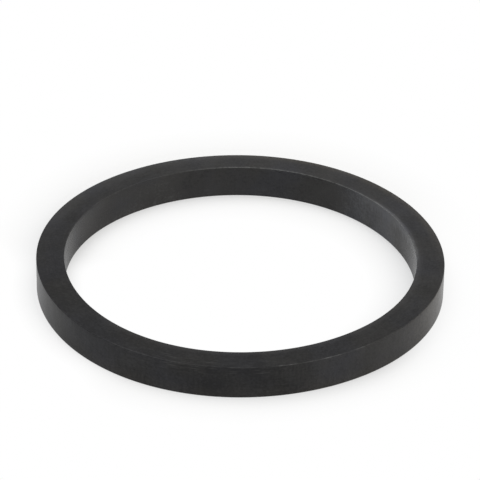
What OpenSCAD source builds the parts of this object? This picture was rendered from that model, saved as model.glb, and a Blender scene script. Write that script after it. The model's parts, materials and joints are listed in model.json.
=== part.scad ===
// Oil cooler gasket: one closed rubber ring of rectangular section.
// It lies in a round groove between the oil cooler and its housing. The two flat faces
// seal, the inside wall passes over the land round the oil port, and the outside wall
// is backed by the groove.
// The origin is the middle of the lower sealing face, and the ring's axis is +Z.

/* [Ring] */
// Diameter over the outside wall
outer_d = 74; // [60:0.5:110]
// Width of the section, from the inside wall to the outside wall
section_w = 5; // [3:0.25:9]
// Height of the section, from the lower sealing face to the upper one
section_h = 6; // [3:0.25:10]

/* [Edges] */
// Radius of the section's two outside corners, as small as a mould leaves on such a ring
outside_corner_r = 0.25; // [0.1:0.05:0.6]
// Radius of the section's two inside corners
inside_corner_r = 0.2; // [0.1:0.05:0.6]

/* [Quality] */
// Facets round the ring in the preview
facets = 180; // [90:30:360]
// Facets of the whole circle that each corner of the section is a quarter of
corner_facets = 48; // [24:8:64]

/* [Hidden] */
rubber_black = [0.21, 0.215, 0.225];
outer_r = outer_d / 2;
inner_r = outer_r - section_w;

// Two quarter-round corners of radius r, one on each sealing face. Their centres stand at
// the distance x from the ring's axis.
module corner_pair(x, r) {
    for (z = [r, section_h - r])
        translate([x, z])
            circle(r = r, $fn = corner_facets);
}

// The section as it is cut through one side of the ring: flat faces, upright walls and
// four rounded corners that meet both without a step.
module section() {
    face_w = section_w - inside_corner_r - outside_corner_r;
    union() {
        translate([inner_r + inside_corner_r, 0])
            square([face_w, section_h]);
        translate([inner_r, inside_corner_r])
            square([section_w / 2, section_h - 2 * inside_corner_r]);
        translate([outer_r - section_w / 2, outside_corner_r])
            square([section_w / 2, section_h - 2 * outside_corner_r]);
        corner_pair(inner_r + inside_corner_r, inside_corner_r);
        corner_pair(outer_r - outside_corner_r, outside_corner_r);
    }
}

// The whole gasket: the section turned once round the axis.
module sealing_ring() {
    color(rubber_black)
        rotate_extrude($fn = facets)
            section();
}

sealing_ring();
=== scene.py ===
import json
import math

import bpy
from mathutils import Matrix, Vector


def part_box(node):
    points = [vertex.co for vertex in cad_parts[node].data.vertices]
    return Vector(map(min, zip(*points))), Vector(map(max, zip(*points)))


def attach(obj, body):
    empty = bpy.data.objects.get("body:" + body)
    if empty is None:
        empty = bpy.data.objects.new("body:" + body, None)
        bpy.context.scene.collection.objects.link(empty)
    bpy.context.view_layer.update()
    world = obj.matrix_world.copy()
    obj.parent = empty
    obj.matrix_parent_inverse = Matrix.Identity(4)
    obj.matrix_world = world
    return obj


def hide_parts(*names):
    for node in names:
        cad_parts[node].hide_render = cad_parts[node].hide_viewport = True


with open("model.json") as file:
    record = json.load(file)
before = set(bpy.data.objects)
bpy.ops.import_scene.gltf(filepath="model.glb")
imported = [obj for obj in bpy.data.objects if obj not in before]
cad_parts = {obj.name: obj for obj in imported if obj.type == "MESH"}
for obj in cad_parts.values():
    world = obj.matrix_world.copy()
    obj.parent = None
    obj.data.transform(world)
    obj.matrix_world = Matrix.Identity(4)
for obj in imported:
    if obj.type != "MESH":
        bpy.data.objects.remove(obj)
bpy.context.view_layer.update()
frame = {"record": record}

# Oil cooler gasket: one black rubber ring lying on a white studio floor.
# Lengths are in metres, and mm turns a size in millimetres into metres.
mm = 0.001
scene = bpy.context.scene
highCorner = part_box("sealing_ring")[1]
boreMount = next(m for m in frame["record"]["mounts"] if m["name"] == "bore")


# Helpers for node trees, shader and geometry trees alike

def addNode(tree, kind, **settings):
    node = tree.nodes.new(kind)
    for name, value in settings.items():
        setattr(node, name, value)
    return node


def plug(tree, socket, value):
    # value is a fixed value or another node's output
    if isinstance(value, bpy.types.NodeSocket):
        tree.links.new(value, socket)
    else:
        socket.default_value = value


def fill(tree, node, values):
    # values by socket name
    for name, value in values.items():
        plug(tree, next(s for s in node.inputs if s.name == name and s.enabled), value)
    return node


def calc(tree, operation, *values, clamp=False):
    node = addNode(tree, "ShaderNodeMath", operation=operation, use_clamp=clamp)
    for socket, value in zip(node.inputs, values):
        plug(tree, socket, value)
    return node.outputs[0]


def vec(tree, operation, *values):
    node = addNode(tree, "ShaderNodeVectorMath", operation=operation)
    for socket, value in zip([s for s in node.inputs if s.enabled], values):
        plug(tree, socket, value)
    return node.outputs["Value" if operation == "LENGTH" else "Vector"]


def split(tree, vector):
    node = addNode(tree, "ShaderNodeSeparateXYZ")
    plug(tree, node.inputs[0], vector)
    return node.outputs


def join(tree, x=0.0, y=0.0, z=0.0):
    node = addNode(tree, "ShaderNodeCombineXYZ")
    return fill(tree, node, {"X": x, "Y": y, "Z": z}).outputs[0]


def strongest(tree, layers):
    # the largest of several values
    largest, *others = layers
    for other in others:
        largest = calc(tree, "MAXIMUM", largest, other)
    return largest


def swing(tree, pattern):
    # a pattern that runs from 0 to 1, taken from its middle
    return calc(tree, "SUBTRACT", pattern, 0.5)


def ease(tree, value, start, end, low=0.0, high=1.0):
    # runs smoothly from low to high while value goes from start to end
    node = addNode(tree, "ShaderNodeMapRange", interpolation_type="SMOOTHSTEP")
    return fill(tree, node, {
        "Value": value, "From Min": start, "From Max": end, "To Min": low, "To Max": high}).outputs[0]


def noise(tree, place, seed, detail=2.0, rough=0.5):
    # place already has the pattern's own scale
    node = addNode(tree, "ShaderNodeTexNoise", noise_dimensions="4D")
    fill(tree, node, {"Vector": place, "W": seed, "Scale": 1.0, "Detail": detail, "Roughness": rough})
    return node.outputs[0]


def ringWays(tree, place):
    # distance from the axis, height, and a way round the ring that closes on itself
    x, y, height = split(tree, place)
    flat = join(tree, x, y)
    return vec(tree, "LENGTH", flat), height, vec(tree, "NORMALIZE", flat)


def angleRound(tree, place):
    # radians round the ring, from the right
    x, y = split(tree, place)[:2]
    return calc(tree, "ARCTAN2", y, x)


def roundPlace(tree, around, count, along):
    # a place in a pattern that closes round the ring: a larger count makes it finer that way
    x, y = split(tree, vec(tree, "SCALE", around, count))[:2]
    return join(tree, x, y, along)


def stretchRound(tree, angle, middle, reach, fade):
    # 1 within reach degrees of middle, going round, then fading to 0
    fromMiddle = calc(tree, "COSINE", calc(tree, "SUBTRACT", angle, calc(tree, "RADIANS", middle)))
    innerEnd = calc(tree, "COSINE", calc(tree, "RADIANS", reach))
    outerEnd = calc(tree, "COSINE", calc(tree, "RADIANS", calc(tree, "ADD", reach, fade)))
    return ease(tree, fromMiddle, outerEnd, innerEnd)


def lobes(tree, angle, count, amount, turn):
    # amount * cos(count * (angle - turn))
    fromTurn = calc(tree, "SUBTRACT", angle, calc(tree, "RADIANS", turn))
    wave = calc(tree, "COSINE", calc(tree, "MULTIPLY", fromTurn, count))
    return calc(tree, "MULTIPLY", wave, amount)


def newTree(name, kind, inputs, outputs):
    # inputs are rows of name, socket type and start value, outputs of name and socket type
    tree = bpy.data.node_groups.new(name, kind)
    for label, socketType, start in inputs:
        socket = tree.interface.new_socket(label, in_out="INPUT", socket_type=socketType)
        if start is not None:
            socket.default_value = start
    for label, socketType in outputs:
        tree.interface.new_socket(label, in_out="OUTPUT", socket_type=socketType)
    given = addNode(tree, "NodeGroupInput").outputs
    result = addNode(tree, "NodeGroupOutput").inputs
    return tree, given, result


# The ring. It lies free, so it has relaxed a little out of round.

ringShape = {
    "Outer Radius": highCorner.x,
    "Inner Radius": boreMount["dims"]["r_mm"] * mm,
    "Height": highCorner.z,
    "Outer Corner": 0.15 * mm,    # radius of the section's two outside corners
    "Inner Corner": 0.12 * mm,
    "Segments": 1440,             # steps round the ring
    "Corner Steps": 7,            # steps round each corner of the section
    "Flat Rows": 7,               # rows added on each flat of the section
    "Oval": 0.59 * mm,            # out of round with two wide places
    "Oval Turn": 89.0,            # degrees to the first of them
    "Trefoil": 0.06 * mm,         # out of round with three
    "Trefoil Turn": 4.0,
    "Square": 0.12 * mm,          # out of round with four
    "Square Turn": -18.0,
    "Unevenness": 0.012 * mm,     # soft hollows that the cure left in the skin
    "Hollow Size": 3.2 * mm,
    "Floor Clearance": 0.5 * mm,  # height over which the hollows fade out, down to the floor
    "Lip Height": 0.06 * mm,      # ragged skin left standing on stretches of the two upper edges
    "Tooth Length": 0.9 * mm,     # length of one tooth of that skin
    "Break Length": 3.0 * mm,     # length of the gaps in the thin stretch in front
    "Behind Middle": 60.0,        # degrees round to the middle of the first stretch, on the inner edge
    "Behind Reach": 32.0,         # degrees from there to where it starts to fade
    "Behind Fade": 24.0,          # degrees that it fades over
    "Behind Gain": 0.95,          # how full that stretch's skin is
    "Right Middle": 16.0,         # the thicker stretch on the inner edge
    "Right Reach": 8.0,
    "Right Fade": 26.0,
    "Right Gain": 1.0,
    "Front Middle": 288.0,        # the thin one on the outer edge
    "Front Reach": 2.0,
    "Front Fade": 24.0,
    "Front Gain": 0.6,
    "Seed": 4.0,
}

# What breaks up the standing skin: the name of its length above, its detail, and the values of the
# pattern at which it starts to show and shows fully, then its least.
skinPatterns = {
    "teeth": ("Tooth Length", 3.0, (0.34, 0.66, 0.3)),
    "breaks": ("Break Length", 1.0, (0.40, 0.58, 0.15)),
}

outerRadius = ringShape["Outer Radius"]
innerRadius = ringShape["Inner Radius"]
middleRadius = (outerRadius + innerRadius) / 2
topHeight = ringShape["Height"]


def sectionCurve(tree, size):
    # a rectangle with four rounded corners, drawn round its own middle, the outside on +X
    width = calc(tree, "SUBTRACT", size["Outer Radius"], size["Inner Radius"])
    rectangle = addNode(tree, "GeometryNodeCurvePrimitiveQuadrilateral", mode="RECTANGLE")
    fill(tree, rectangle, {"Width": width, "Height": size["Height"]})
    side = split(tree, addNode(tree, "GeometryNodeInputPosition").outputs[0])["X"]
    isOutside = calc(tree, "GREATER_THAN", side, 0.0)
    radiusStep = calc(tree, "SUBTRACT", size["Outer Corner"], size["Inner Corner"])
    cornerRadius = calc(tree, "MULTIPLY_ADD", isOutside, radiusStep, size["Inner Corner"])
    rounded = addNode(tree, "GeometryNodeFilletCurve", mode="POLY")
    fill(tree, rounded, {
        "Curve": rectangle.outputs[0], "Count": size["Corner Steps"], "Radius": cornerRadius})
    # only the four long stretches get rows: each follows the last point of a corner
    index = addNode(tree, "GeometryNodeInputIndex").outputs[0]
    step = calc(tree, "MODULO", index, calc(tree, "ADD", size["Corner Steps"], 1.0))
    isLast = calc(tree, "COMPARE", step, size["Corner Steps"], 0.1)
    rows = addNode(tree, "GeometryNodeSubdivideCurve")
    fill(tree, rows, {
        "Curve": rounded.outputs[0], "Cuts": calc(tree, "MULTIPLY", isLast, size["Flat Rows"])})
    return rows.outputs[0]


def turnedSection(tree, size, section, middle):
    circle = addNode(tree, "GeometryNodeCurvePrimitiveCircle", mode="RADIUS")
    fill(tree, circle, {"Resolution": size["Segments"], "Radius": middle})
    turned = addNode(tree, "GeometryNodeCurveToMesh")
    fill(tree, turned, {"Curve": circle.outputs[0], "Profile Curve": section})
    standing = addNode(tree, "GeometryNodeTransform")
    halfHeight = calc(tree, "MULTIPLY", size["Height"], 0.5)
    fill(tree, standing, {
        "Geometry": turned.outputs[0], "Translation": join(tree, z=halfHeight)})
    # every later pattern goes by the place that a point had in the mould
    kept = addNode(tree, "GeometryNodeStoreNamedAttribute", data_type="FLOAT_VECTOR")
    fill(tree, kept, {
        "Geometry": standing.outputs[0], "Name": "mouldPlace",
        "Value": addNode(tree, "GeometryNodeInputPosition").outputs[0]})
    return kept.outputs[0]


def freeShape(tree, size, angle):
    # how far each part stands outward from its place in the mould
    outOfRound = 0.0
    for part, count in (("Oval", 2.0), ("Trefoil", 3.0), ("Square", 4.0)):
        lobe = lobes(tree, angle, count, size[part], size[part + " Turn"])
        outOfRound = calc(tree, "ADD", outOfRound, lobe)
    return outOfRound


def softHollows(tree, size, place, height):
    # how far the skin stands out or sinks in, none on the face that lies on the floor
    hollowSize = join(tree, size["Hollow Size"], size["Hollow Size"], size["Hollow Size"])
    hollows = noise(tree, vec(tree, "DIVIDE", place, hollowSize), size["Seed"])
    upAndDown = calc(tree, "MULTIPLY_ADD", hollows, 2.0, -1.0)
    clearOfFloor = ease(tree, height, 0.0, size["Floor Clearance"])
    return calc(tree, "MULTIPLY", calc(tree, "MULTIPLY", upAndDown, clearOfFloor), size["Unevenness"])


def raggedLip(tree, size, edgePlace, skin, side, part):
    # full at the middle of the rounded corner, nothing where the corner ends
    # side names the edge, and part the stretch of it
    radius, height, angle = edgePlace
    away = calc(tree, "SUBTRACT", radius, size[side + " Radius"])
    below = calc(tree, "SUBTRACT", size["Height"], height)
    distance = vec(tree, "LENGTH", join(tree, away, below))
    corner = size[side + " Corner"]
    nearest = calc(tree, "MULTIPLY", corner, math.sqrt(2) - 1)
    share = ease(tree, distance, corner, nearest)
    stretch = stretchRound(
        tree, angle, size[part + " Middle"], size[part + " Reach"], size[part + " Fade"])
    full = calc(tree, "MULTIPLY", stretch, size[part + " Gain"])
    return calc(tree, "MULTIPLY", calc(tree, "MULTIPLY", share, full), skin)


def standingSkin(tree, size, outward, middle, edgePlace):
    # teeth of skin along three stretches of the upper edges, the one in front with gaps
    patterns = {}
    for name, (length, detail, limits) in skinPatterns.items():
        scaled = vec(tree, "SCALE", outward, calc(tree, "DIVIDE", middle, size[length]))
        patterns[name] = ease(tree, noise(tree, scaled, size["Seed"], detail), *limits)
    teeth = patterns["teeth"]
    broken = calc(tree, "MULTIPLY", teeth, patterns["breaks"])
    stretches = (("Inner", "Behind", teeth), ("Inner", "Right", teeth), ("Outer", "Front", broken))
    return strongest(tree, [
        raggedLip(tree, size, edgePlace, skin, side, part) for side, part, skin in stretches])


def buildRingTree():
    inputs = [(name, "NodeSocketInt" if isinstance(value, int) else "NodeSocketFloat", value)
              for name, value in ringShape.items()]
    inputs.append(("Rubber", "NodeSocketMaterial", None))
    tree, size, result = newTree(
        "rubberRing", "GeometryNodeTree", inputs, [("Geometry", "NodeSocketGeometry")])
    span = calc(tree, "ADD", size["Outer Radius"], size["Inner Radius"])
    middle = calc(tree, "MULTIPLY", span, 0.5)
    ringMesh = turnedSection(tree, size, sectionCurve(tree, size), middle)

    stored = addNode(tree, "GeometryNodeInputNamedAttribute", data_type="FLOAT_VECTOR")
    fill(tree, stored, {"Name": "mouldPlace"})
    place = stored.outputs[0]
    radius, height, outward = ringWays(tree, place)
    angle = angleRound(tree, outward)
    normal = addNode(tree, "GeometryNodeInputNormal").outputs[0]

    # the finish reads where the skin stands
    lip = standingSkin(tree, size, outward, middle, (radius, height, angle))
    kept = addNode(tree, "GeometryNodeStoreNamedAttribute", data_type="FLOAT")
    fill(tree, kept, {"Geometry": ringMesh, "Name": "lipSkin", "Value": lip})

    sideways = vec(tree, "SCALE", outward, freeShape(tree, size, angle))
    across = vec(tree, "SCALE", normal, softHollows(tree, size, place, height))
    standing = join(tree, z=calc(tree, "MULTIPLY", lip, size["Lip Height"]))
    move = vec(tree, "ADD", vec(tree, "ADD", sideways, across), standing)
    relaxed = addNode(tree, "GeometryNodeSetPosition")
    fill(tree, relaxed, {"Geometry": kept.outputs[0], "Offset": move})
    smooth = addNode(tree, "GeometryNodeSetShadeSmooth")
    plug(tree, smooth.inputs["Geometry"], relaxed.outputs[0])
    whole = addNode(tree, "GeometryNodeRealizeInstances")
    plug(tree, whole.inputs["Geometry"], smooth.outputs[0])
    painted = addNode(tree, "GeometryNodeSetMaterial")
    fill(tree, painted, {"Geometry": whole.outputs[0], "Material": size["Rubber"]})
    plug(tree, result[0], painted.outputs[0])
    return tree


def makeRing(material):
    ring = bpy.data.objects.new("rubber_ring", bpy.data.meshes.new("rubber_ring_start"))
    scene.collection.objects.link(ring)
    tree = buildRingTree()
    modifier = ring.modifiers.new("rubberRing", "NODES")
    modifier.node_group = tree
    values = {**ringShape, "Rubber": material}
    for item in tree.interface.items_tree:
        if item.in_out == "INPUT":
            modifier[item.identifier] = values[item.name]
    graph = bpy.context.evaluated_depsgraph_get()
    mesh = bpy.data.meshes.new_from_object(
        ring.evaluated_get(graph), preserve_all_data_layers=True, depsgraph=graph)
    mesh.name = "rubber_ring"
    ring.modifiers.remove(modifier)
    ring.data = mesh
    print("ring made:", len(mesh.polygons), "faces")
    return ring


# Effects of the rubber's surface, each a group with its own inputs

# Values of a pattern at which it starts to show and shows fully, then its least and its most
# where they aren't 0 and 1. A pair that goes down shows the pattern's low parts.
patternLimits = {
    "rubBreaks": (0.38, 0.66, 0.15),
    "paleDashes": (0.54, 0.74),
    "darkDashes": (0.46, 0.26),
    "tint": (0.35, 0.65),
    "dustSpeckles": (0.3, 0.7, 0.6, 1.3),
}


def newEffect(name, numbers, outputs):
    # a shader group that takes the place and some numbers, and gives patterns or masks
    inputs = [("Place", "NodeSocketVector", None)]
    inputs += [(label, "NodeSocketFloat", start) for label, start in numbers.items()]
    return newTree(name, "ShaderNodeTree", inputs, [(label, "NodeSocketFloat") for label in outputs])


def mouldGrainGroup():
    # fine grain of the mould and soft clouds in the skin
    tree, given, result = newEffect(
        "mouldGrain", {"Grain Size": 0.2 * mm, "Cloud Size": 4 * mm, "Seed": 0.0}, ("Grain", "Cloud"))
    for label, detail in (("Grain", 4.0), ("Cloud", 3.0)):
        scaled = vec(tree, "SCALE", given["Place"], calc(tree, "DIVIDE", 1.0, given[label + " Size"]))
        plug(tree, result[label], noise(tree, scaled, given["Seed"], detail, rough=0.6))
    return tree


def turnedMarksGroup():
    # fine marks that run round the ring, as a wiped mould or a trimming knife leaves
    tree, given, result = newEffect(
        "turnedMarks", {"Mark Width": 0.15 * mm, "Marks Round": 20.0, "Seed": 0.0}, ("Marks",))
    radius, height, around = ringWays(tree, given["Place"])
    across = calc(tree, "DIVIDE", radius, given["Mark Width"])
    upward = calc(tree, "DIVIDE", height, given["Mark Width"])
    place = roundPlace(tree, around, given["Marks Round"], across)
    plug(tree, result["Marks"], noise(tree, place, calc(tree, "ADD", upward, given["Seed"])))
    return tree


def uprightStreaksGroup():
    # faint streaks up a wall, from pulling the ring out of the mould
    tree, given, result = newEffect("uprightStreaks", {
        "Radius": middleRadius, "Streak Width": 0.5 * mm, "Streak Length": 5 * mm, "Seed": 0.0},
        ("Streaks",))
    height, around = ringWays(tree, given["Place"])[1:]
    count = calc(tree, "DIVIDE", given["Radius"], given["Streak Width"])
    upward = calc(tree, "DIVIDE", height, given["Streak Length"])
    plug(tree, result["Streaks"], noise(
        tree, roundPlace(tree, around, count, upward), given["Seed"]))
    return tree


def edgeWearAndHighlightGroup():
    # worn, and painted highlight where the corners catch the light, along the section's four corners
    tree, given, result = newEffect("edgeWearAndHighlight", {
        "Outer Radius": outerRadius, "Inner Radius": innerRadius, "Height": topHeight,
        "Width": 0.3 * mm, "Break Size": 1 * mm, "Seed": 0.0}, ("WearAndHighlight",))
    radius, height = ringWays(tree, given["Place"])[:2]
    sideways = calc(tree, "MINIMUM", calc(tree, "SUBTRACT", radius, given["Inner Radius"]),
                    calc(tree, "SUBTRACT", given["Outer Radius"], radius))
    upright = calc(tree, "MINIMUM", height, calc(tree, "SUBTRACT", given["Height"], height))
    fromEdge = calc(tree, "MAXIMUM", sideways, upright)
    near = ease(tree, fromEdge, given["Width"], 0.0)
    scaled = vec(tree, "SCALE", given["Place"], calc(tree, "DIVIDE", 1.0, given["Break Size"]))
    pattern = noise(tree, scaled, given["Seed"], detail=3.0)
    broken = ease(tree, pattern, *patternLimits["rubBreaks"])
    plug(tree, result["WearAndHighlight"], calc(tree, "MULTIPLY", near, broken))
    return tree


def scuffGroup():
    # thin pale and dark dashes along the ring, in one stretch of it and one part of the section
    tree, given, result = newEffect("scuff", {
        "Middle": 0.0, "Reach": 10.0, "Fade": 10.0, "Lowest": 0.0, "Highest": topHeight,
        "Nearest": innerRadius, "Farthest": outerRadius, "Scuff Width": 0.3 * mm,
        "Scuffs Round": 20.0, "Seed": 0.0}, ("Pale", "Dark"))
    radius, height, around = ringWays(tree, given["Place"])
    part = stretchRound(
        tree, angleRound(tree, around), given["Middle"], given["Reach"], given["Fade"])
    softness = calc(tree, "MULTIPLY", given["Scuff Width"], 2.0)
    for way, start, end in ((height, "Lowest", "Highest"), (radius, "Nearest", "Farthest")):
        fromStart = ease(tree, calc(tree, "SUBTRACT", way, given[start]), 0.0, softness)
        fromEnd = ease(tree, calc(tree, "SUBTRACT", given[end], way), 0.0, softness)
        part = calc(tree, "MULTIPLY", part, calc(tree, "MULTIPLY", fromStart, fromEnd))
    across = calc(tree, "DIVIDE", calc(tree, "SUBTRACT", radius, height), given["Scuff Width"])
    place = roundPlace(tree, around, given["Scuffs Round"], across)
    dashes = noise(tree, place, given["Seed"], detail=1.0)
    for label, limits in (("Pale", "paleDashes"), ("Dark", "darkDashes")):
        shown = ease(tree, dashes, *patternLimits[limits])
        plug(tree, result[label], calc(tree, "MULTIPLY", part, shown))
    return tree


def gatheredPatchGroup():
    # a patch that gathers from one radius to another and from one height to another, along one
    # stretch, mostly to paint light as thicker film and warm dust.
    # The heights given here are below the floor, so without others it covers the full height.
    tree, given, result = newEffect("gatheredPatch", {
        "Start Radius": innerRadius, "Full Radius": outerRadius,
        "Start Height": -2 * mm, "Full Height": -1 * mm,
        "Middle": 0.0, "Reach": 10.0, "Fade": 10.0, "Gain": 0.5,
        "Pattern": 0.5, "Raggedness": 0.0}, ("Patch",))
    radius, height, around = ringWays(tree, given["Place"])
    stretch = stretchRound(
        tree, angleRound(tree, around), given["Middle"], given["Reach"], given["Fade"])
    # the pattern moves the patch's border up and down
    ragged = calc(tree, "MULTIPLY_ADD", swing(tree, given["Pattern"]), given["Raggedness"], height)
    inward = ease(tree, radius, given["Start Radius"], given["Full Radius"])
    upward = ease(tree, ragged, given["Start Height"], given["Full Height"])
    film = calc(tree, "MULTIPLY", stretch, calc(tree, "MULTIPLY", inward, upward))
    plug(tree, result["Patch"], calc(tree, "MULTIPLY", film, given["Gain"]))
    return tree


rubber = {
    "bare": (0.0178, 0.0178, 0.0180, 1),
    "bloomed": (0.0391, 0.0391, 0.0394, 1),   # under the grey film that the rubber sweats out
    "powderAndLight": (0.085, 0.087, 0.089, 1),     # where the film is thickest: powder, and painted light where the patches push the film past full
    # warm dust colour, mostly painting highlight on the right of the ring
    "warmDustAndHighlight": (0.156, 0.139, 0.112, 1),
    # pale colour of wear, also used as painted highlight on the edges and the standing skin
    "rubbedAndHighlight": (0.280, 0.282, 0.280, 1),
    "litSideTurn": 62.0,            # degrees round to the side that is painted lighter, where more light falls
    "filmAndLitSideShare": (0.45, 0.32),   # mean share of the film, and the painted light it gains on that side
    "powderAndLightShare": (1.0, 2.3),    # shares at which this palest colour starts and is all that shows
    "grainSize": 0.45 * mm,
    "cloudSize": 5.0 * mm,
    "markWidth": 0.16 * mm,
    "marksRound": 26.0,
    "streakWidth": 0.5 * mm,      # faint upright streaks on the two walls
    "streakLength": 5.0 * mm,
    # how far each pattern moves the share of the film
    "depths": {"grain": 1.5, "cloud": 1.0, "marks": 0.7, "streaks": 0.5},
    "edgeWidth": 0.28 * mm,
    "edgeBreak": 1.3 * mm,
    "edgeRubAndHighlight": 0.05,              # share of the pale colour along the edges: wear, and painted highlight where the corners catch the light
    "lipRubAndHighlight": 0.48,               # on the standing skin: painted highlight along the upper edges, and a rubbed look on the trimmed skin
    "paleScuff": 0.07,            # and in the pale dashes
    "darkScuff": 0.6,             # share of the film that the dark dashes lack
    "tintSize": 8.0 * mm,
    "cool": (0.98, 0.985, 1.07, 1),
    "warm": (1.02, 1.0, 0.985, 1),
    "roughness": (0.40, 0.34),    # bare and bloomed
    "wallRoughness": -0.07,       # added on the two walls, which the mould leaves smoother
    "wallDepth": (0.1 * mm, 0.02 * mm),   # depths under a wall where its finish starts and is whole
    "markRelief": 0.5,            # relief of the marks, with the grain's as 1
    "bumpDepth": 0.012 * mm,
    "specular": 0.09,
    "seeds": {"grain": 3.0, "edge": 5.0, "streaks": 7.0, "tint": 8.0, "marks": 9.0},
}

scuffPlaces = {   # where the ring has rubbed
    "front": {
        "Middle": 262.0, "Reach": 10.0, "Fade": 14.0, "Lowest": 4.2 * mm, "Highest": 7.0 * mm,
        "Nearest": outerRadius - 2.4 * mm, "Farthest": outerRadius + 1.0 * mm,
        "Scuff Width": 0.22 * mm, "Scuffs Round": 13.0, "Seed": 2.0},
    "right": {
        "Middle": 14.0, "Reach": 10.0, "Fade": 22.0, "Lowest": 4.6 * mm, "Highest": 7.0 * mm,
        "Nearest": innerRadius - 1.0 * mm, "Farthest": innerRadius + 0.9 * mm,
        "Scuff Width": 0.16 * mm, "Scuffs Round": 9.0, "Seed": 6.0},
    "behind": {
        "Middle": 56.0, "Reach": 26.0, "Fade": 20.0, "Lowest": 5.2 * mm, "Highest": 7.0 * mm,
        "Nearest": innerRadius - 1.0 * mm, "Farthest": innerRadius + 0.7 * mm,
        "Scuff Width": 0.2 * mm, "Scuffs Round": 22.0, "Seed": 12.0},
}

# parts of the section that a painted patch can keep to
insideWall = {"Start Radius": innerRadius + 0.25 * mm, "Full Radius": innerRadius + 0.05 * mm}
outsideWall = {"Start Radius": outerRadius - 0.25 * mm, "Full Radius": outerRadius - 0.05 * mm}
outsideSkin = {"Start Radius": outerRadius - 0.1 * mm, "Full Radius": outerRadius - 0.02 * mm}
foot = {"Start Height": 2.6 * mm, "Full Height": 0.2 * mm}

paintedLightPlaces = {   # painted light: the film made thicker so the skin shows lighter, towards a rim of the upper face and on the walls, where more light falls
    "rimBehind": {
        "Start Radius": outerRadius - 3.4 * mm, "Full Radius": outerRadius - 0.3 * mm,
        "Middle": 126.0, "Reach": 14.0, "Fade": 40.0, "Gain": 0.75},
    "rimOnTheRight": {
        "Start Radius": innerRadius + 0.9 * mm, "Full Radius": innerRadius + 0.1 * mm,
        "Start Height": topHeight - 2.0 * mm, "Full Height": topHeight - 0.5 * mm,
        "Middle": 18.0, "Reach": 12.0, "Fade": 20.0, "Gain": 0.95, "Raggedness": 5.0 * mm},
    "rimInFront": {
        "Start Radius": innerRadius + 1.6 * mm, "Full Radius": innerRadius + 0.3 * mm,
        "Middle": 310.0, "Reach": 76.0, "Fade": 24.0, "Gain": 0.5},
    "insideRight": {**insideWall, "Middle": 41.0, "Reach": 5.0, "Fade": 14.0, "Gain": 0.8},
    "insideLeft": {**insideWall, "Middle": 146.0, "Reach": 26.0, "Fade": 14.0, "Gain": 0.45},
    "insideFoot": {**insideWall, **foot, "Middle": 104.0, "Reach": 40.0, "Fade": 18.0, "Gain": 0.36},
    "outsideInFront": {**outsideWall, "Middle": 306.0, "Reach": 8.0, "Fade": 16.0, "Gain": 0.5},
    "outsideLeft": {**outsideWall, "Middle": 242.0, "Reach": 8.0, "Fade": 14.0, "Gain": 0.3},
}

dustAndHighlightPlaces = {   # warm dust colour on the outside: on the right, on the wall's end and the upper rim, it is painted highlight where more light falls; at the foot of the wall in front it only makes the wall lighter towards the floor
    "rim": {
        "Start Radius": outerRadius - 1.9 * mm, "Full Radius": outerRadius - 0.2 * mm,
        "Start Height": topHeight - 1.0 * mm, "Full Height": topHeight - 0.05 * mm,
        "Middle": 50.0, "Reach": 24.0, "Fade": 34.0, "Gain": 0.17},
    "wall": {**outsideSkin, "Middle": 352.0, "Reach": 2.0, "Fade": 36.0, "Gain": 0.20},
    "foot": {**outsideSkin, **foot, "Middle": 274.0, "Reach": 40.0, "Fade": 20.0, "Gain": 0.06},
}


def useGroup(tree, group, values):
    node = addNode(tree, "ShaderNodeGroup", node_tree=group)
    return fill(tree, node, values).outputs


def blendColours(tree, share, first, second, way="MIX"):
    node = addNode(tree, "ShaderNodeMix", data_type="RGBA", blend_type=way)
    return fill(tree, node, {"Factor": share, "A": first, "B": second}).outputs["Result"]


def rubberPatterns(tree, place):
    # what the mould and the wear have left on the skin, by name
    seeds = rubber["seeds"]
    grain = useGroup(tree, mouldGrainGroup(), {
        "Place": place, "Grain Size": rubber["grainSize"], "Cloud Size": rubber["cloudSize"],
        "Seed": seeds["grain"]})
    marks = useGroup(tree, turnedMarksGroup(), {
        "Place": place, "Mark Width": rubber["markWidth"], "Marks Round": rubber["marksRound"],
        "Seed": seeds["marks"]})
    streaks = useGroup(tree, uprightStreaksGroup(), {
        "Place": place, "Radius": middleRadius, "Streak Width": rubber["streakWidth"],
        "Streak Length": rubber["streakLength"], "Seed": seeds["streaks"]})
    edge = useGroup(tree, edgeWearAndHighlightGroup(), {
        "Place": place, "Outer Radius": outerRadius, "Inner Radius": innerRadius, "Height": topHeight,
        "Width": rubber["edgeWidth"], "Break Size": rubber["edgeBreak"], "Seed": seeds["edge"]})
    scuffTree = scuffGroup()
    scuffs = [useGroup(tree, scuffTree, {"Place": place, **values}) for values in scuffPlaces.values()]
    return {
        "grain": grain["Grain"], "cloud": grain["Cloud"], "marks": marks["Marks"],
        "streaks": streaks["Streaks"], "edge": edge["WearAndHighlight"],
        "pale": strongest(tree, [scuff["Pale"] for scuff in scuffs]),
        "dark": strongest(tree, [scuff["Dark"] for scuff in scuffs])}


def gatheredLayers(tree, group, place, pattern, places):
    shared = {"Place": place, "Pattern": pattern}
    return [useGroup(tree, group, {**shared, **values})["Patch"] for values in places.values()]


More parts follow.
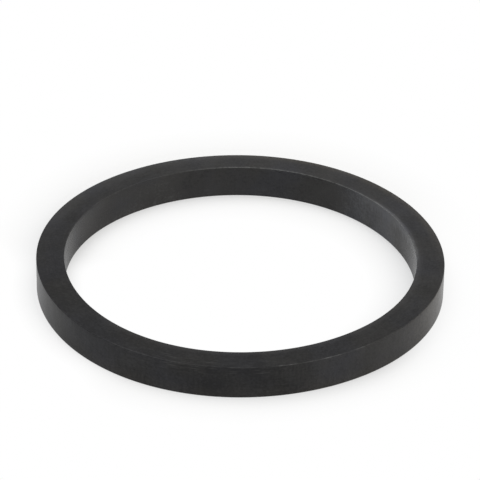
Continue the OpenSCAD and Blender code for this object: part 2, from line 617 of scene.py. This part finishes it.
def filmAndLightShare(tree, patterns, paintedLightFilms, angle, isWall):
    # how much of the grey film lies on the skin: 0 is bare, 1 is bloomed, and more turns to powder;
    # the gathered patches add painted light
    depths = rubber["depths"]
    meanShare, sideGain = rubber["filmAndLitSideShare"]
    # the gain towards one side is painted light: the skin made lighter where more light falls
    share = calc(tree, "ADD", meanShare, lobes(
        tree, angle, count=1.0, amount=sideGain, turn=rubber["litSideTurn"]))
    for name in ("grain", "cloud", "marks"):
        share = calc(tree, "MULTIPLY_ADD", swing(tree, patterns[name]), depths[name], share)
    streaked = calc(tree, "MULTIPLY", swing(tree, patterns["streaks"]), isWall)
    share = calc(tree, "MULTIPLY_ADD", streaked, depths["streaks"], share)
    for film in paintedLightFilms:
        share = calc(tree, "ADD", share, film)
    return calc(tree, "MULTIPLY_ADD", patterns["dark"], -rubber["darkScuff"], share)


def bodyColour(tree, place, share, dustAndHighlight, patterns):
    # the rubber under its film, faintly tinted, with speckled warm dust colour on it that is mostly
    # painted highlight
    body = blendColours(tree, share, rubber["bare"], rubber["bloomed"])
    body = blendColours(tree, ease(tree, share, *rubber["powderAndLightShare"]), body, rubber["powderAndLight"])
    tintPlace = vec(tree, "SCALE", place, 1.0 / rubber["tintSize"])
    tint = ease(tree, noise(tree, tintPlace, rubber["seeds"]["tint"]), *patternLimits["tint"])
    tintColour = blendColours(tree, tint, rubber["cool"], rubber["warm"])
    body = blendColours(tree, 1.0, body, tintColour, "MULTIPLY")
    speckles = ease(tree, patterns["grain"], *patternLimits["dustSpeckles"])
    return blendColours(tree, calc(tree, "MULTIPLY", dustAndHighlight, speckles), body, rubber["warmDustAndHighlight"])


def blackRubber():
    material = bpy.data.materials.new("blackRubber")
    material.use_nodes = True
    tree = material.node_tree
    place = addNode(tree, "ShaderNodeAttribute", attribute_name="mouldPlace").outputs["Vector"]
    lip = addNode(tree, "ShaderNodeAttribute", attribute_name="lipSkin").outputs["Fac"]
    radius = ringWays(tree, place)[0]
    fromWall = calc(tree, "MINIMUM", calc(tree, "SUBTRACT", radius, innerRadius),
                    calc(tree, "SUBTRACT", outerRadius, radius))
    isWall = ease(tree, fromWall, *rubber["wallDepth"])
    patterns = rubberPatterns(tree, place)
    patchTree = gatheredPatchGroup()
    # painted light: lighter patches of film on the rims and walls, where more light falls
    paintedLightFilms = gatheredLayers(tree, patchTree, place, patterns["streaks"], paintedLightPlaces)
    # painted highlight in a warm dust colour on the right, and a lighter foot in front
    dustAndHighlights = gatheredLayers(tree, patchTree, place, patterns["streaks"], dustAndHighlightPlaces)

    share = filmAndLightShare(tree, patterns, paintedLightFilms, angleRound(tree, place), isWall)
    body = bodyColour(tree, place, share, strongest(tree, dustAndHighlights), patterns)
    # pale where the edges, the scuffs and the standing skin are: wear in the scuffs, wear and painted
    # highlight on the edges, painted highlight on the standing skin
    rubAndHighlight = strongest(tree, [
        calc(tree, "MULTIPLY", patterns["edge"], rubber["edgeRubAndHighlight"]),
        calc(tree, "MULTIPLY", patterns["pale"], rubber["paleScuff"]),
        calc(tree, "MULTIPLY", lip, rubber["lipRubAndHighlight"])])
    colour = blendColours(tree, rubAndHighlight, body, rubber["rubbedAndHighlight"])

    bareRoughness, bloomedRoughness = rubber["roughness"]
    bloom = ease(tree, share, 0.0, 1.0)
    roughness = calc(tree, "MULTIPLY_ADD", bloom, bloomedRoughness - bareRoughness, bareRoughness)
    roughness = calc(tree, "MULTIPLY_ADD", isWall, rubber["wallRoughness"], roughness)
    relief = calc(tree, "MULTIPLY_ADD", patterns["marks"], rubber["markRelief"], patterns["grain"])
    bump = addNode(tree, "ShaderNodeBump")
    fill(tree, bump, {"Height": relief, "Distance": rubber["bumpDepth"], "Strength": 1.0})
    fill(tree, tree.nodes["Principled BSDF"], {
        "Base Color": colour, "Roughness": roughness,
        "Normal": bump.outputs[0], "Specular IOR Level": rubber["specular"]})
    print("rubber ready:", len(scuffPlaces), "scuffs,", len(paintedLightFilms), "films,", len(dustAndHighlights), "dustAndHighlights")
    return material


# Studio: white floor, three soft lamps far off, and air that is brighter on the right

studio = {
    "floorSize": 8.0,
    "floorDrop": 0.02 * mm,       # below the ring
    "floorColour": (0.86, 0.86, 0.86, 1),
    "floorRoughness": 0.9,
    "floorSpecular": 0.1,
    "glowColour": (1, 1, 1, 1),
    # on the left side, elsewhere and on the right: share of the floor's white, close to the ring,
    # that no shadow darkens, and the gap from the ring at which all of it is so
    "outsideGlow": (0.56, 0.40, 0.86),
    "insideGlow": (0.48, 0.38, 0.08),
    "glowReach": (4 * mm, 9 * mm, 9 * mm),
    "leftSide": (200.0, 25.0, 16.0),   # degrees round to its middle, its reach each way, and its fade
    "rightSide": (0.0, 0.0, 53.0),
    "glowCurve": 0.7,             # below 1 the glow fills in sooner
    "shadowFall": 14 * mm,        # how far the soft shadow falls behind the ring
    "air": (0.0, 0.84),           # strength of the light from all round, far left and far right
    "airColour": (1.0, 0.99, 0.97, 1),
    "lamps": {   # name: degrees round from the right, degrees up, width in degrees, strength, colour
        "backLamp": (135, 60, 40, 1.08, (1.0, 1.0, 1.0)),
        "leftLamp": (225, 60, 40, 1.02, (0.98, 1.0, 1.02)),
        "frontLamp": (315, 30, 44, 0.54, (1.0, 0.95, 0.87)),
    },
}


def glowShare(tree, place):
    # the floor's glow is whole away from the ring and thins towards it, so the shadow shows there
    radius = ringWays(tree, place)[0]
    angle = angleRound(tree, place)
    onLeft = stretchRound(tree, angle, *studio["leftSide"])
    onRight = stretchRound(tree, angle, *studio["rightSide"])
    near = {}
    for name in ("outsideGlow", "insideGlow", "glowReach"):
        left, elsewhere, right = studio[name]
        value = calc(tree, "MULTIPLY_ADD", onLeft, left - elsewhere, elsewhere)
        near[name] = calc(tree, "MULTIPLY_ADD", onRight, right - elsewhere, value)
    isOutside = calc(tree, "GREATER_THAN", radius, middleRadius)
    step = calc(tree, "SUBTRACT", near["outsideGlow"], near["insideGlow"])
    nearGlow = calc(tree, "MULTIPLY_ADD", isOutside, step, near["insideGlow"])

    # behind the ring the gap starts only where the soft shadow ends
    x, y = split(tree, place)[:2]
    fall = calc(tree, "MINIMUM", calc(tree, "MAXIMUM", y, 0.0), studio["shadowFall"])
    pastShadow = vec(tree, "LENGTH", join(tree, x, calc(tree, "SUBTRACT", y, fall)))
    gap = calc(tree, "MAXIMUM", calc(tree, "SUBTRACT", innerRadius, radius),
               calc(tree, "SUBTRACT", pastShadow, outerRadius))
    filled = calc(tree, "DIVIDE", gap, near["glowReach"], clamp=True)
    away = calc(tree, "POWER", filled, studio["glowCurve"])
    return calc(tree, "MULTIPLY_ADD", away, calc(tree, "SUBTRACT", 1.0, nearGlow), nearGlow)


def whiteFloor():
    # a glow that only the camera and reflections see keeps the white even
    material = bpy.data.materials.new("whiteFloor")
    material.use_nodes = True
    material.cycles.emission_sampling = "NONE"
    tree = material.node_tree
    shader = fill(tree, tree.nodes["Principled BSDF"], {
        "Base Color": studio["floorColour"], "Roughness": studio["floorRoughness"],
        "Specular IOR Level": studio["floorSpecular"]})
    glow = fill(tree, addNode(tree, "ShaderNodeEmission"), {
        "Color": studio["glowColour"], "Strength": 1.0})
    share = glowShare(tree, addNode(tree, "ShaderNodeTexCoord").outputs["Object"])
    ray = addNode(tree, "ShaderNodeLightPath").outputs
    isSeen = strongest(tree, [ray["Is Camera Ray"], ray["Is Glossy Ray"], ray["Is Transmission Ray"]])
    mixed = addNode(tree, "ShaderNodeMixShader")
    plug(tree, mixed.inputs[0], calc(tree, "MULTIPLY", isSeen, share))
    plug(tree, mixed.inputs[1], shader.outputs[0])
    plug(tree, mixed.inputs[2], glow.outputs[0])
    plug(tree, tree.nodes["Material Output"].inputs["Surface"], mixed.outputs[0])
    return material


def makeFloor():
    half = studio["floorSize"] / 2
    corners = [(x, y, -studio["floorDrop"]) for x, y in (
        (-half, -half), (half, -half), (half, half), (-half, half))]
    mesh = bpy.data.meshes.new("studioFloor")
    mesh.from_pydata(corners, [], [(0, 1, 2, 3)])
    floor = bpy.data.objects.new("studioFloor", mesh)
    scene.collection.objects.link(floor)
    mesh.materials.append(whiteFloor())


def makeSurroundings():
    world = bpy.data.worlds.new("studioAir")
    world.use_nodes = True
    scene.world = world
    tree = world.node_tree
    toRight = split(tree, addNode(tree, "ShaderNodeTexCoord").outputs["Generated"])["X"]
    farLeft, farRight = studio["air"]
    middle, slope = (farLeft + farRight) / 2, (farRight - farLeft) / 2
    fill(tree, tree.nodes["Background"], {
        "Color": studio["airColour"], "Strength": calc(tree, "MULTIPLY_ADD", toRight, slope, middle)})


def makeLamps():
    for name, (around, up, width, strength, colour) in studio["lamps"].items():
        light = bpy.data.lights.new(name, "SUN")
        light.energy, light.angle, light.color = strength, math.radians(width), colour
        lamp = bpy.data.objects.new(name, light)
        scene.collection.objects.link(lamp)
        turn, rise = math.radians(around), math.radians(up)
        toLamp = Vector((
            math.cos(turn) * math.cos(rise), math.sin(turn) * math.cos(rise), math.sin(rise)))
        lamp.location = toLamp
        lamp.rotation_euler = toLamp.to_track_quat("Z", "Y").to_euler()


cameraView = {
    "frame": 480,                     # the picture's side in pixels
    "sensor": 36.0,                   # mm
    "lens": 228.4,                    # mm, a long lens
    "distance": 0.5471,               # from the camera to the ring's middle, along the view
    "pitch": 29.97,                   # degrees that it looks down
    "roll": 0.97,                     # degrees that it is turned
    "ringMiddle": (239.56, 283.72),   # pixel where the middle of the lower face shows
    "clip": (0.01, 50.0),             # nearest and farthest that it sees
}


def placeCamera():
    view = cameraView
    camera = bpy.data.cameras.new("camera")
    camera.sensor_width, camera.lens = view["sensor"], view["lens"]
    camera.clip_start, camera.clip_end = view["clip"]
    body = bpy.data.objects.new("camera", camera)
    scene.collection.objects.link(body)
    turn = Matrix.Rotation(math.radians(90 - view["pitch"]), 3, "X") @ Matrix.Rotation(
        math.radians(view["roll"]), 3, "Z")
    metresPerPixel = view["distance"] * view["sensor"] / view["lens"] / view["frame"]
    column, row = view["ringMiddle"]
    half = view["frame"] / 2
    ringSeen = Vector((
        (column - half) * metresPerPixel, (half - row) * metresPerPixel, -view["distance"]))
    body.matrix_world = Matrix.Translation(-(turn @ ringSeen)) @ turn.to_4x4()
    scene.camera = body


placeCamera()
makeFloor()
makeSurroundings()
makeLamps()
print("studio ready")
ring = makeRing(blackRubber())
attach(ring, "root")
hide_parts("sealing_ring")

scene.view_settings.view_transform = "Standard"
bpy.context.view_layer.update()
